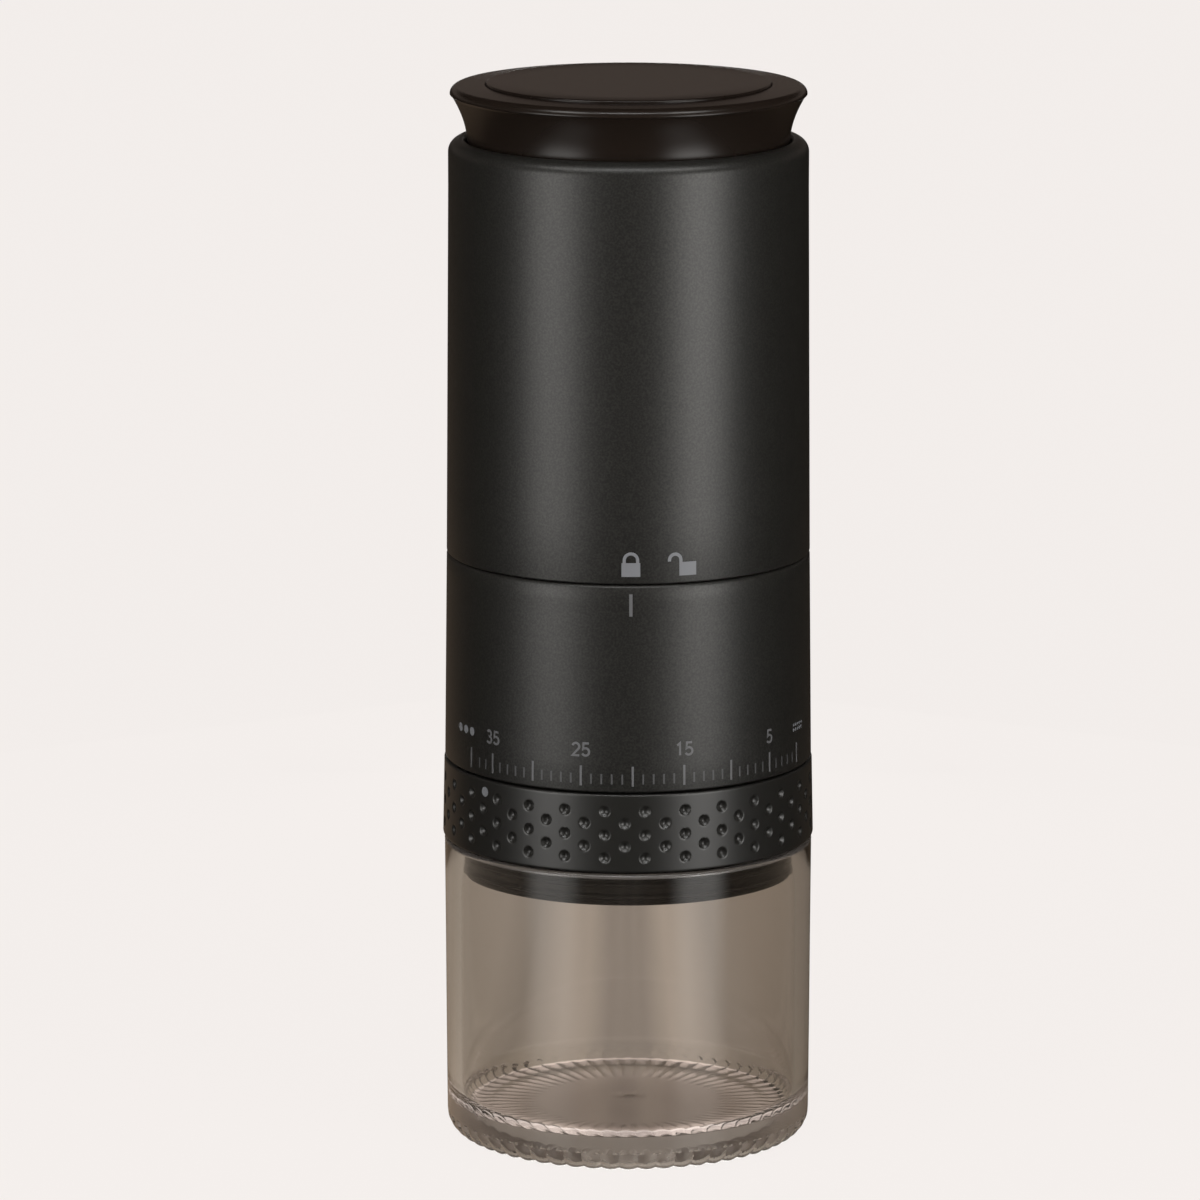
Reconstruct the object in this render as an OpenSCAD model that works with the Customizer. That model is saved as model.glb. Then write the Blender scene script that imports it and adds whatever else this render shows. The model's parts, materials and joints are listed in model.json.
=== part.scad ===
// Portable burr coffee grinder: a clear cup, an adjusting ring, a hopper body
// with conical burrs, and a power unit that locks on top with a bayonet.
// The origin is the centre of the cup's foot. +Z is up and the front is -Y.

/* [Cup] */
// Height of the clear cup
cup_height = 58.2; // [50:0.2:70]
// Outside radius of the cup above its rounded foot
cup_radius = 34.95; // [34.8:0.05:35.1]
// Inside radius of the cup
cup_bore = 31.95; // [31.9:0.01:32]
// Thickness of the cup's floor above the table
cup_floor = 6; // [5:0.5:8]

/* [Adjusting ring] */
// Height of the dimpled adjusting ring
ring_height = 14.9; // [14.5:0.1:15.5]
// Outside radius of the adjusting ring
ring_radius = 35.4; // [35.3:0.05:36]
// Number of three-dimple columns round the ring
dimple_columns = 29; // [20:1:30]
// Radius of each dimple's mouth
dimple_radius = 1.05; // [0.8:0.05:1.1]
// How far the burrs move for a turn of one radian
thread_lead = 0.8952; // [0.8:0.01:0.9]

/* [Bodies] */
// Height of the hopper body between its two seams
lower_height = 39.4; // [39:0.1:45]
// Outside radius at the foot of the hopper body
lower_radius = 34.95; // [34.9:0.05:35.1]
// Outside radius at the seam between the hopper body and the power unit
seam_radius = 34.5; // [34.4:0.05:34.7]
// Height of the power unit's sleeve
upper_height = 78.6; // [78:0.2:86]
// Outside radius at the top of the power unit
top_radius = 33.95; // [33.8:0.05:34.2]

/* [Cap] */
// Height of the cap above the power unit
cap_rise = 10.7; // [9:0.1:12]
// Radius of the cap's neck
neck_radius = 30.4; // [30.3:0.05:30.6]
// Radius of the cap's flared rim
rim_radius = 33.6; // [33:0.1:34]
// Radius of the disc let into the cap's top
disc_radius = 26.8; // [24:0.1:27.5]

/* [Gearbox] */
// Tooth size: pitch diameter divided by the number of teeth
gear_module = 0.5; // [0.5:0.01:0.52]
// Thickness of each planet gear
planet_height = 4.6; // [4:0.1:4.6]

/* [Cells] */
// Radius of a battery cell
cell_radius = 9.1; // [8.5:0.1:9.1]
// Length of a battery cell
cell_length = 50; // [45:1:51]

/* [Hidden] */
$fn = 96;
gap = 0.4;
wall = 2.1;
ring_taper = 0.3;

// Levels, from the table up
ring_z0 = cup_height + gap;
ring_z1 = ring_z0 + ring_height;
low_z0 = ring_z1 + gap;
low_z1 = low_z0 + lower_height;
up_z0 = low_z1 + gap / 2;
up_z1 = up_z0 + upper_height;
cap_top = up_z1 + cap_rise;

// Collar that the cup pushes on to
collar_z0 = cup_height - 6.8;
collar_z1 = ring_z0 - 0.3;
collar_radius = 31.3;
seal_z0 = collar_z0 + 1.2;
seal_z1 = seal_z0 + 3.8;

// Chassis tube that the adjusting ring turns on
tube_radius = 30;
tube_bore = 27.5;
chassis_z1 = low_z0 + 3.1;
shell_bore = seam_radius - wall + 0.05;
fit = 0.1;

// Burr carrier, its guide pins and the helical grooves that lift it
click_radius = 0.8;
click_angle = -60;
pin_radius = 1.5;
pin_z = ring_z0 + 8.3;
groove_radius = 32.6;
groove_step = 5;
coarse_travel = 6.4;
fine_travel = 115.2;
carrier_z0 = ring_z0 + 1.9;
carrier_z1 = ring_z1;
carrier_radius = tube_bore - 0.08;

// Burrs
burr_z0 = ring_z0 + 1.6;
burr_height = 12.5;
inner_burr_radius = 16;
outer_burr_tip = 16.6;
outer_burr_z0 = ring_z0 + 2;
outer_burr_z1 = ring_z1 - 0.5;

// Drive shaft, bearings and dog coupling
shaft_radius = 2.5;
shaft_z0 = burr_z0 - 4.7;
bearing_radius = 5.5;
bearing_height = 5;
hub_z0 = chassis_z1 + 2;
hub_z1 = hub_z0 + 15;
dog_z0 = low_z1 - 18.3;
dog_plate = 2.2;
dog_reach = 4;
dog_radius = 8;
dog_angle = 50;

// Hopper and bayonet
hopper_z1 = low_z1 - 9.3;
bayonet_z0 = hopper_z1 + 0.2;
bayonet_z1 = low_z1 - 0.7;
lip_z0 = bayonet_z1 - 3.1;
lip_bore = 28.6;
track_bore = 30.3;
spigot_radius = 28.3;
spigot_z0 = hopper_z1 + 0.6;
lug_angle = 24;
unlock_angle = 16;
flange_z0 = up_z0 + 0.1;
flange_z1 = flange_z0 + 2.8;

// Gear train, from the output up to the motor
sun_teeth = 12;
planet_teeth = 18;
ring_teeth = 48;
pressure_angle = 25;
flank_relief = 0.03;
orbit = gear_module * (sun_teeth + planet_teeth) / 2;
gearbox_radius = 16;
gearbox_z0 = spigot_z0 + 2.6;
output_z0 = gearbox_z0 + 2.1;
stage_b_z0 = output_z0 + 1.8;
stage_b_z1 = stage_b_z0 + planet_height;
arm_z0 = stage_b_z1 + 0.3;
arm_z1 = arm_z0 + 1.4;
stage_a_z0 = arm_z1 + 0.3;
stage_a_z1 = stage_a_z0 + planet_height;
gearbox_z1 = stage_a_z1 + 0.8;
motor_z0 = gearbox_z1 + 1.6;
motor_z1 = motor_z0 + 30.8;
motor_radius = 12.2;
axle_radius = 1;

// Cells, board and deck
cradle_z0 = motor_z0 + 0.4;
cell_z0 = cradle_z0 + 1.8;
cell_z1 = cell_z0 + cell_length;
cell_orbit = motor_radius + cell_radius + 1.1;
deck_z1 = up_z1 - 4.7;
deck_z0 = deck_z1 - 4.6;
deck_step = deck_z0 + 1.6;
deck_plate = deck_z1 - 1.8;
bore_radius = neck_radius + 0.3;
board_z1 = deck_z0 - 0.6;
board_z0 = board_z1 - 1.6;
button_radius = 8;
button_travel = 1.2;
usb_y = 17;

// Helpers

module tube(r, bore, z0, z1) {
    translate([0, 0, z0]) difference() {
        cylinder(r = r, h = z1 - z0);
        translate([0, 0, -1]) cylinder(r = bore, h = z1 - z0 + 2);
    }
}

module disc(r, z0, z1) {
    translate([0, 0, z0]) cylinder(r = r, h = z1 - z0);
}

// Places its children on a circle, turned to face outwards
module around(count, radius, start = 0) {
    for (i = [0 : count - 1])
        rotate(start + i * 360 / count) translate([radius, 0, 0]) children();
}

// A wedge of a tube, centred on the +X axis
module tube_sector(r, bore, angle, z0, z1) {
    translate([0, 0, z0]) rotate(-angle / 2)
        rotate_extrude(angle = angle) translate([bore, 0]) square([r - bore, z1 - z0]);
}

// A pan-head screw with its head at the bottom, pointing up, with a cross recess
module screw(shank_r, head_r, z0, head_h, z1) {
    difference() {
        union() {
            disc(head_r, z0, z0 + head_h);
            disc(shank_r, z0 + head_h - 0.01, z1);
        }
        for (a = [0, 90])
            rotate(a) translate([-head_r * 0.6, -head_r * 0.15, z0 - 1])
                cube([head_r * 1.2, head_r * 0.3, 1 + head_h * 0.5]);
    }
}

// Points of an arc, from angle a0 to a1
function arc(cx, cy, r, a0, a1, steps) =
    [for (i = [0 : steps]) let (a = a0 + (a1 - a0) * i / steps) [cx + r * cos(a), cy + r * sin(a)]];

// Gear outlines: involute flanks from the base circle to the tip

function roll(a) = tan(a) * 180 / PI - a;
function half_tooth(teeth, r, extra) =
    let (pitch_r = gear_module * teeth / 2,
         base_r = pitch_r * cos(pressure_angle),
         a = r > base_r ? acos(base_r / r) : 0)
    90 / teeth + roll(pressure_angle) - roll(a) + extra / pitch_r * 180 / PI;
function flank_radii(low, high) = [for (i = [0 : 4]) low + (high - low) * i / 4];
function polar(r, a) = [r * cos(a), r * sin(a)];
function tooth(teeth, centre, radii, extra) = concat(
    [for (r = radii) polar(r, centre - half_tooth(teeth, r, extra))],
    [for (i = [len(radii) - 1 : -1 : 0])
        polar(radii[i], centre + half_tooth(teeth, radii[i], extra))]);
function gear_outline(teeth, low, high, extra, start) =
    [for (k = [0 : teeth - 1]) each tooth(teeth, start + k * 360 / teeth, flank_radii(low, high), extra)];

module gear(teeth, height, bore, start = 0) {
    pitch_r = gear_module * teeth / 2;
    difference() {
        linear_extrude(height)
            polygon(gear_outline(teeth, pitch_r - 1.05 * gear_module,
                pitch_r + 0.8 * gear_module, -flank_relief, start));
        translate([0, 0, -1]) cylinder(r = bore, h = height + 2);
    }
}

// A round wire swept up a helix, closed at both ends
module coil(r, wire, z0, z1, turns, start = 0) {
    sides = 8;
    per_turn = 24;
    rings = turns * per_turn;
    points = [for (i = [0 : rings], s = [0 : sides - 1])
        let (a = start + 360 * i / per_turn,
             z = z0 + wire + (z1 - z0 - 2 * wire) * i / rings,
             w = 360 * s / sides,
             d = r + wire * cos(w))
        [d * cos(a), d * sin(a), z + wire * sin(w)]];
    walls = [for (i = [0 : rings - 1], s = [0 : sides - 1])
        let (a = i * sides + s, b = i * sides + (s + 1) % sides)
        [a, a + sides, b + sides, b]];
    first = [for (s = [0 : sides - 1]) s];
    last = [for (s = [sides - 1 : -1 : 0]) rings * sides + s];
    polyhedron(points, concat(walls, [first, last]));
}

// Cup

module cup() {
    foot = 31.5;
    outline = concat(
        [[0, 1.6], [26.4, 1.6], [27.6, 0], [foot, 0]],
        arc(foot, cup_radius - foot - 0.15, cup_radius - foot - 0.15, -90, 0, 12),
        [[cup_radius + 0.15, cup_height - 0.5], [cup_radius - 0.35, cup_height],
         [cup_bore + 0.5, cup_height], [cup_bore, cup_height - 0.6]],
        arc(cup_bore - 2.5, cup_floor + 2.5, 2.5, 0, -90, 8),
        [[0, cup_floor]]);
    color([0.62, 0.58, 0.53, 0.4]) rotate_extrude() polygon(outline);
}

module cup_collar() {
    groove = collar_radius - 1;
    bottom = 0.8;
    outline = concat(
        [[27, collar_z0]],
        arc(collar_radius - bottom, collar_z0 + bottom, bottom, -90, 0, 6),
        [[collar_radius, seal_z0], [groove, seal_z0], [groove, seal_z1],
         [collar_radius, seal_z1], [collar_radius, collar_z1], [27, collar_z1]]);
    color([0.06, 0.06, 0.06]) difference() {
        rotate_extrude() polygon(outline);
        around(3, 28.75, 90) {
            disc(1.05, collar_z0 - 1, collar_z1 + 1);
            disc(1.5, collar_z0 - 1, collar_z0 + 1.6);
        }
    }
}

module cup_seal() {
    base = collar_radius - 0.95;
    lip = cup_bore - 0.1;
    face = collar_radius;
    outline = [[base, seal_z0 + 0.1], [face, seal_z0 + 0.1], [lip, seal_z0 + 0.5],
        [lip, seal_z0 + 0.9], [face, seal_z0 + 1.3], [face, seal_z0 + 2.3],
        [lip, seal_z0 + 2.7], [lip, seal_z0 + 3.1], [face, seal_z0 + 3.5],
        [face, seal_z1 - 0.1], [base, seal_z1 - 0.1]];
    color([0.1, 0.1, 0.1]) rotate_extrude() polygon(outline);
}

module collar_screws() {
    color([0.7, 0.7, 0.7]) around(3, 28.75, 90)
        screw(0.95, 1.4, collar_z0 + 0.3, 1.2, collar_z1 + 4.4);
}

// Chassis, adjusting ring and click

module chassis() {
    slot_low = pin_z - 3.6;
    slot_high = pin_z + 2;
    color([0.12, 0.12, 0.12]) difference() {
        union() {
            tube(tube_radius, tube_bore, collar_z1, chassis_z1);
            tube(shell_bore - fit, tube_bore, low_z0 + 0.1, chassis_z1);
        }
        for (a = [0, 180])
            rotate(a) translate([tube_bore - 1, -pin_radius - 0.06, slot_low])
                cube([4.5, 2 * pin_radius + 0.12, slot_high - slot_low]);
        around(3, 28.75, 90) disc(1, collar_z1 - 1, collar_z1 + 5);
        around(3, 29.6, 30) disc(1, chassis_z1 - 2.4, chassis_z1 + 1);
        rotate(click_angle) translate([31, 0, low_z0 - 1])
            cylinder(r = click_radius + 0.1, h = 3.7);
    }
}

module dimple(angle, z) {
    depth = 0.55;
    ball = (dimple_radius * dimple_radius + depth * depth) / (2 * depth);
    lean = ring_radius - ring_taper * (z - ring_z0) / ring_height;
    rotate(angle) translate([lean + ball - depth, 0, z]) sphere(r = ball, $fn = 24);
}

module adjust_ring() {
    pitch = 360 / dimple_columns;
    front = -90;
    chamfer = 0.35;
    rows = [ring_z0 + 2.8, ring_z0 + 7.2, ring_z0 + 11.7];
    between = [ring_z0 + 5, ring_z0 + 9.4];
    slope = atan(thread_lead / groove_radius);
    half = 31.6 * groove_step * PI / 360 + 0.3;
    height = 2 * pin_radius + 0.14;
    segments = ceil((fine_travel + coarse_travel + 9) / groove_step);
    outline = [[tube_radius + 0.08, ring_z0], [ring_radius - chamfer, ring_z0],
        [ring_radius, ring_z0 + chamfer], [ring_radius - ring_taper, ring_z1 - chamfer],
        [ring_radius - ring_taper - chamfer, ring_z1], [tube_radius + 0.08, ring_z1]];
    color([0.16, 0.16, 0.16]) difference() {
        rotate_extrude() polygon(outline);
        for (i = [0 : dimple_columns - 1]) {
            for (z = rows)
                dimple(front + 5 + pitch * i, z);
            for (z = between)
                dimple(front + 5 + pitch * (i - 0.5), z);
        }
        for (side = [0, 180], i = [0 : segments - 1]) {
            angle = coarse_travel + 4 - groove_step * (i + 0.5);
            rotate(side + angle)
                translate([groove_radius - 4, 0, pin_z + thread_lead * angle * PI / 180])
                rotate([slope, 0, 0]) translate([0, -half, -height / 2])
                cube([4, 2 * half, height]);
        }
    }
}

module click_ball() {
    color([0.8, 0.8, 0.8]) rotate(click_angle)
        translate([31, 0, ring_z1 + 0.05 + click_radius]) sphere(r = click_radius);
}

module click_spring() {
    start = ring_z1 + 0.05 + 2 * click_radius;
    color([0.75, 0.75, 0.75]) rotate(click_angle) translate([31, 0, 0])
        coil(0.65, 0.12, start - 0.1, low_z0 + 2.65, 3);
}

// Burrs and their carrier

module burr_carrier() {
    neck = 19.05;
    color([0.25, 0.25, 0.26]) difference() {
        tube(carrier_radius, neck, carrier_z0, carrier_z1);
        disc(22.7, carrier_z0 - 1, outer_burr_z0 + 1.6);
        around(3, 20.9, 30) disc(0.9, carrier_z0, carrier_z0 + 6);
        for (a = [0, 180])
            rotate(a) translate([22, 0, pin_z]) rotate([0, 90, 0]) cylinder(r = pin_radius, h = 7);
    }
}

module carrier_pins() {
    color([0.8, 0.8, 0.8]) for (a = [0, 180])
        rotate(a) translate([22.1, 0, pin_z]) rotate([0, 90, 0]) cylinder(r = pin_radius, h = 10.2);
}

module carrier_spring() {
    color([0.7, 0.7, 0.7]) coil(24.4, 0.45, carrier_z1 + 0.02, chassis_z1 - 0.02, 2);
}

// A toothed ring outline: each tooth has a steep face and a long back
function saw_ring(teeth, low, high) =
    [for (k = [0 : teeth - 1]) each
        [polar(low, k * 360 / teeth), polar(high, (k + 0.18) * 360 / teeth)]];

module outer_burr() {
    height = outer_burr_z1 - outer_burr_z0;
    top_scale = 0.78;
    color([0.55, 0.55, 0.56]) difference() {
        union() {
            disc(19, outer_burr_z0, outer_burr_z1);
            disc(22.5, outer_burr_z0, outer_burr_z0 + 1.5);
        }
        around(3, 20.9, 30) disc(1.05, outer_burr_z0 - 1, outer_burr_z0 + 2);
        translate([0, 0, outer_burr_z0 - 0.01])
            linear_extrude(height + 0.02, scale = top_scale)
            polygon(saw_ring(36, outer_burr_tip, outer_burr_tip + 0.9));
    }
}

module outer_burr_screws() {
    color([0.8, 0.8, 0.8]) around(3, 20.9, 30)
        screw(0.85, 1.55, outer_burr_z0 - 1.2, 1.2, carrier_z0 + 5.4);
}

module inner_burr() {
    color([0.6, 0.6, 0.61]) translate([0, 0, burr_z0]) difference() {
        union() {
            linear_extrude(burr_height, twist = 50, scale = 0.42, slices = 10)
                polygon(saw_ring(14, inner_burr_radius - 1.6, inner_burr_radius));
            cylinder(r = 5.6, h = burr_height + 0.9);
        }
        translate([0, 0, -1]) cylinder(r = shaft_radius + 0.02, h = burr_height + 3);
    }
}

module burr_washer() {
    color([0.75, 0.75, 0.75]) tube(7.5, shaft_radius + 0.1, burr_z0 - 1, burr_z0);
}

module burr_nut() {
    color([0.75, 0.75, 0.75]) translate([0, 0, burr_z0 - 3.7]) difference() {
        cylinder(r = 4.62, h = 2.7, $fn = 6);
        translate([0, 0, -1]) cylinder(r = shaft_radius + 0.02, h = 5);
    }
}

module drive_shaft() {
    color([0.75, 0.75, 0.75]) union() {
        disc(shaft_radius, shaft_z0, dog_z0 + dog_plate);
        disc(3.4, burr_z0 + burr_height + 0.9, hub_z0);
    }
}

module bearing(z0) {
    cage = 0.3;
    color([0.8, 0.8, 0.8]) difference() {
        tube(bearing_radius - 0.02, shaft_radius + 0.03, z0, z0 + bearing_height);
        tube(4.6, 3.4, z0 - 1, z0 + cage);
        tube(4.6, 3.4, z0 + bearing_height - cage, z0 + bearing_height + 1);
    }
}

module lower_bearing() {
    bearing(hub_z0 + 0.1);
}

module upper_bearing() {
    bearing(hub_z1 - bearing_height - 0.1);
}

// One half of the dog coupling: a plate with two jaws that start inside it
module dog_half(plate_z0, jaw_z0, jaw_z1, bore, start) {
    difference() {
        union() {
            disc(dog_radius, plate_z0, plate_z0 + dog_plate);
            for (a = [start, start + 180])
                rotate(a) tube_sector(dog_radius - 0.3, 3.6, dog_angle, jaw_z0, jaw_z1);
        }
        disc(bore, plate_z0 - 1, plate_z0 + dog_plate + 1);
    }
}

module driven_dog() {
    top = dog_z0 + dog_plate;
    color([0.3, 0.3, 0.3]) dog_half(dog_z0, top - 0.5, top + dog_reach, shaft_radius + 0.02, 0);
}

module driver_dog() {
    plate = dog_z0 + dog_plate + dog_reach + 0.4;
    color([0.3, 0.3, 0.3]) dog_half(plate, plate - dog_reach, plate + 0.5, 3.02, 90);
}

// Hopper and housing

function hopper_outer() = [[21.3, low_z0 + 1.6], [21.3, chassis_z1 + 2], [24, chassis_z1 + 3.4],
    [31.6, hopper_z1 - 12], [31.6, hopper_z1 - 2]];

module hopper() {
    skin = 1.8;
    outline = concat(hopper_outer(),
        [[shell_bore - fit, hopper_z1 - 2], [shell_bore - fit, hopper_z1], [29.8, hopper_z1],
         [29.8, hopper_z1 - 12], [19.5, chassis_z1 + 3], [19.5, low_z0 + 1.6]]);
    solid_outline = concat([[0, low_z0 + 1.6]], hopper_outer(), [[0, hopper_z1 - 2]]);
    color([0.14, 0.14, 0.14]) difference() {
        union() {
            rotate_extrude() polygon(outline);
            tube(31.6, 21, chassis_z1, chassis_z1 + skin);
            disc(dog_radius, hub_z0, hub_z1);
            intersection() {
                translate([-31, -1.5, hub_z0]) cube([62, 3, hub_z1 - hub_z0 - 1]);
                rotate_extrude() polygon(solid_outline);
            }
        }
        disc(bearing_radius, hub_z0 - 1, hub_z0 + bearing_height + 0.2);
        disc(bearing_radius, hub_z1 - bearing_height - 0.2, hub_z1 + 1);
        disc(3.2, hub_z0, hub_z1);
        around(3, 29.6, 30) disc(1.1, chassis_z1 - 1, chassis_z1 + skin + 1);
    }
}

module hopper_screws() {
    color([0.75, 0.75, 0.75]) around(3, 29.6, 30) translate([0, 0, 2 * chassis_z1 + 3.1])
        mirror([0, 0, 1]) screw(0.95, 1.7, chassis_z1, 1.2, chassis_z1 + 5.2);
}

module lower_housing() {
    chamfer = 0.3;
    outline = [[shell_bore, low_z0], [lower_radius - chamfer, low_z0],
        [lower_radius, low_z0 + chamfer], [seam_radius, low_z1 - 0.6],
        [seam_radius - 0.6, low_z1], [shell_bore, low_z1]];
    color([0.17, 0.17, 0.17]) rotate_extrude() polygon(outline);
}

module bayonet_ring() {
    gap_angle = lug_angle + 4;
    color([0.15, 0.15, 0.15]) union() {
        tube(shell_bore - fit, track_bore, bayonet_z0, bayonet_z1);
        for (i = [0 : 2])
            rotate(30 + 120 * i) {
                rotate(gap_angle / 2 - unlock_angle + (120 - gap_angle) / 2)
                    tube_sector(31, lip_bore, 120 - gap_angle, lip_z0, bayonet_z1);
                rotate(lug_angle / 2 + 2.6)
                    tube_sector(31, lip_bore + 0.1, 4, lip_z0 - 3.4, lip_z0 + 0.1);
            }
    }
}

module spigot_seal() {
    color([0.08, 0.08, 0.08]) tube(31.8, 29.4, bayonet_z1 + 0.1, flange_z0);
}

// Power unit

module power_base() {
    color([0.13, 0.13, 0.13]) difference() {
        union() {
            tube(spigot_radius, spigot_radius - 2.5, spigot_z0, flange_z1);
            disc(spigot_radius, spigot_z0, spigot_z0 + 2.4);
            tube(shell_bore - fit - 0.1, spigot_radius - 2.5, flange_z0, flange_z1);
            for (i = [0 : 2])
                rotate(30 + 120 * i)
                    tube_sector(30, spigot_radius - 0.5, lug_angle, lip_z0 - 3.4, lip_z0 - 0.3);
        }
        disc(5, spigot_z0 - 1, spigot_z0 + 4);
        around(3, 18.7, 0) disc(1.2, spigot_z0 + 0.4, spigot_z0 + 4);
        around(3, 30.1, 90) {
            disc(1, flange_z0 - 1, flange_z1 + 1);
            disc(1.7, flange_z0 - 1, flange_z0 + 1.4);
        }
    }
}

module base_screws() {
    color([0.75, 0.75, 0.75]) around(3, 30.1, 90) screw(0.95, 1.6, flange_z0 + 0.1, 1.2, flange_z1 + 6);
}

module output_bush() {
    color([0.72, 0.55, 0.25]) tube(4.98, 3.05, spigot_z0 + 0.1, gearbox_z0 + 1.8);
}

module output_carrier() {
    color([0.6, 0.6, 0.6]) union() {
        disc(11.1, output_z0, output_z0 + 1.6);
        disc(3, dog_z0 + dog_plate + dog_reach + 0.5, output_z0 + 0.1);
        around(3, orbit) disc(axle_radius, output_z0 + 1, stage_b_z1);
    }
}

// A planet gear in mesh with the sun and the ring gear
module planet(index, z0) {
    place = 120 * index;
    start = place * (1 + sun_teeth / planet_teeth) - 180 / planet_teeth;
    color([0.72, 0.7, 0.62]) rotate(place) translate([orbit, 0, z0])
        rotate(-place) gear(planet_teeth, planet_height, axle_radius + 0.04, start);
}

module planet_b1() {
    planet(0, stage_b_z0);
}

module planet_b2() {
    planet(1, stage_b_z0);
}

module planet_b3() {
    planet(2, stage_b_z0);
}

module stage_carrier() {
    color([0.6, 0.6, 0.6]) union() {
        disc(11.1, arm_z0, arm_z1);
        translate([0, 0, stage_b_z0 + 0.1]) gear(sun_teeth, arm_z0 - stage_b_z0, 0.8);
        around(3, orbit) disc(axle_radius, arm_z0 + 0.5, stage_a_z1);
    }
}

module planet_a1() {
    planet(0, stage_a_z0);
}

module planet_a2() {
    planet(1, stage_a_z0);
}

module planet_a3() {
    planet(2, stage_a_z0);
}

module sun_gear() {
    color([0.72, 0.55, 0.25]) translate([0, 0, stage_a_z0 + 0.1])
        gear(sun_teeth, planet_height, axle_radius + 0.01);
}

module gearbox_housing() {
    ring_pitch = gear_module * ring_teeth / 2;
    color([0.2, 0.2, 0.21]) difference() {
        union() {
            disc(gearbox_radius, gearbox_z0, gearbox_z1);
            around(3, 18.7, 0) disc(3, gearbox_z0, gearbox_z0 + 3);
            around(3, 16, 0) translate([-2, -3, gearbox_z0]) cube([4, 6, 3]);
        }
        disc(5, gearbox_z0 - 1, gearbox_z0 + 3);
        disc(ring_pitch - 0.8 * gear_module, gearbox_z0 + 1.8, stage_b_z0);
        translate([0, 0, stage_b_z0 - 0.01]) linear_extrude(gearbox_z1 - stage_b_z0 + 1)
            polygon(gear_outline(ring_teeth, ring_pitch - 0.8 * gear_module,
                ring_pitch + 1.05 * gear_module, flank_relief, 180 / ring_teeth));
        around(3, 18.7, 0) disc(1.3, gearbox_z0 - 1, gearbox_z0 + 4);
    }
}

module gearbox_screws() {
    top = gearbox_z0 + 4.4;
    color([0.75, 0.75, 0.75]) around(3, 18.7, 0) translate([0, 0, top + gearbox_z0])
        mirror([0, 0, 1]) screw(1.15, 2.1, gearbox_z0, 1.4, gearbox_z0 + 6);
}

module motor_plate() {
    color([0.5, 0.5, 0.5]) tube(gearbox_radius, 3.2, gearbox_z1, motor_z0);
}

module motor_can() {
    color([0.6, 0.61, 0.62]) difference() {
        union() {
            disc(motor_radius, motor_z0, motor_z1 - 2.4);
            disc(3.1, motor_z0 - 1.5, motor_z0 + 0.1);
        }
        disc(motor_radius - 0.9, motor_z0 + 1, motor_z1);
        disc(axle_radius + 0.04, motor_z0 - 2, motor_z0 + 2);
    }
}

module motor_magnets() {
    color([0.2, 0.2, 0.2]) for (a = [0, 180])
        rotate(a) tube_sector(motor_radius - 1, motor_radius - 3, 130, motor_z0 + 4, motor_z1 - 8);
}

module motor_rotor() {
    core_z0 = motor_z0 + 5;
    core_z1 = motor_z1 - 9;
    color([0.55, 0.4, 0.25]) union() {
        disc(axle_radius, stage_a_z0, motor_z1 - 1);
        difference() {
            disc(8.7, core_z0, core_z1);
            around(3, 7.4, 60) translate([0, -0.8, core_z0 - 1]) cube([4, 1.6, core_z1 - core_z0 + 2]);
        }
        disc(3, core_z1 - 0.1, motor_z1 - 4);
    }
}

module motor_endcap() {
    color([0.85, 0.83, 0.78]) difference() {
        union() {
            disc(motor_radius - 0.1, motor_z1 - 2.3, motor_z1);
            tube(motor_radius - 1, motor_radius - 2.6, motor_z1 - 6, motor_z1 - 2.2);
        }
        disc(axle_radius + 0.04, motor_z1 - 3, motor_z1 + 1);
    }
}

module battery_cells() {
    color([0.2, 0.45, 0.6]) for (a = [0, 180])
        rotate(a) translate([cell_orbit, 0, 0]) {
            disc(cell_radius, cell_z0, cell_z1 - 0.8);
            disc(3, cell_z1 - 0.9, cell_z1);
        }
}

// Outline of the cradle's end plates: a round plate that clears the motor
module cradle_plate(z0, z1, cell_hole) {
    difference() {
        disc(shell_bore - 0.4, z0, z1);
        disc(motor_radius + 0.3, z0 - 1, z1 + 1);
        for (a = [0, 180])
            rotate(a) translate([cell_orbit, 0, 0]) disc(cell_hole, z0 - 1, z1 + 1);
    }
}

module battery_cradle() {
    color([0.75, 0.74, 0.7]) difference() {
        union() {
            cradle_plate(cradle_z0, cell_z0, 4);
            cradle_plate(cell_z1 + 0.1, cell_z1 + 1.9, 3.5);
            for (side = [-1, 1])
                translate([-13, side * 15 - 1, cell_z0 - 0.1]) cube([26, 2, cell_z1 - cell_z0 + 0.3]);
            around(3, 30.1, 90) disc(2, flange_z1, cradle_z0 + 0.1);
        }
        around(3, 30.1, 90) disc(0.95, flange_z1 - 1, flange_z1 + 7);
    }
}

module wires() {
    for (side = [-1, 1])
        color(side < 0 ? "darkred" : [0.1, 0.1, 0.1])
            translate([side * 7, 0, motor_z1]) cylinder(r = 0.7, h = board_z0 - motor_z1);
}

module circuit_board() {
    color([0.05, 0.3, 0.15]) difference() {
        disc(31, board_z0, board_z1);
        around(3, 30.1, 30) disc(1.1, board_z0 - 1, board_z1 + 1);
    }
}

module board_screws() {
    color([0.75, 0.75, 0.75]) around(3, 30.1, 30) screw(0.9, 1.6, board_z0 - 1.2, 1.2, deck_step - 0.4);
}

module push_switch() {
    color([0.1, 0.1, 0.1]) union() {
        translate([-3, -3, board_z1]) cube([6, 6, 1]);
        disc(1.7, board_z1 + 0.9, board_z1 + 1.15);
    }
}

// A plug-shaped outline with round ends
module plug_outline(width, height) {
    for (side = [-1, 1])
        translate([side * (width - height) / 2, 0]) circle(r = height / 2);
    square([width - height, height], center = true);
}

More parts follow.
